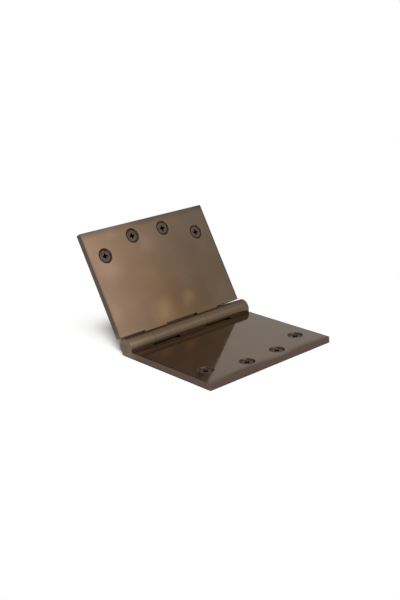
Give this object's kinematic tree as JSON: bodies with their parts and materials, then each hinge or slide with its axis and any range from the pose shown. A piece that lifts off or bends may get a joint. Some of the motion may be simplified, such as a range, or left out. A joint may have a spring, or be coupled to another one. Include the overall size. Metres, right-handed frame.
{
  "type": "parliament hinge",
  "caption": "Parliament hinge with two broad rectangular leaves on a plain knuckled barrel, with countersunk screws, to swing a door or shutter clear of its frame.",
  "frame": {"origin": "on the fixed leaf's back face, directly under the pin's axis, midway along the pin", "axes": "+X along the pin, -Y towards the fixed leaf's outer edge, +Z out of the fixed leaf's inner face"},
  "size_m": [0.1016, 0.1284, 0.0864],
  "materials": {
    "leaf_bronze": "dark antique bronze over brass, polished smooth",
    "pin_bronze": "drawn rod, ends filed flush and toned with the barrel",
    "washer_bronze": "phosphor bronze washer, toned with the barrel",
    "screw_bronze": "turned wood screw, dark bronzed"
  },
  "bodies": {
    "fixed": {"fixed_leaf": "leaf_bronze", "hinge_pin": "pin_bronze", "washer_1": "washer_bronze", "washer_2": "washer_bronze", "washer_3": "washer_bronze", "washer_4": "washer_bronze", "fixed_screw_1": "screw_bronze", "fixed_screw_2": "screw_bronze", "fixed_screw_3": "screw_bronze", "fixed_screw_4": "screw_bronze"},
    "swing": {"swing_leaf": "leaf_bronze", "swing_screw_1": "screw_bronze", "swing_screw_2": "screw_bronze", "swing_screw_3": "screw_bronze", "swing_screw_4": "screw_bronze"}
  },
  "joints": [
    {"name": "leaf_swing", "type": "hinge", "parent": "fixed", "child": "swing", "pos_m": [0, 0, 0.0057], "axis": [-1, 0, 0], "range_deg": [-120, 60]}
  ]
}
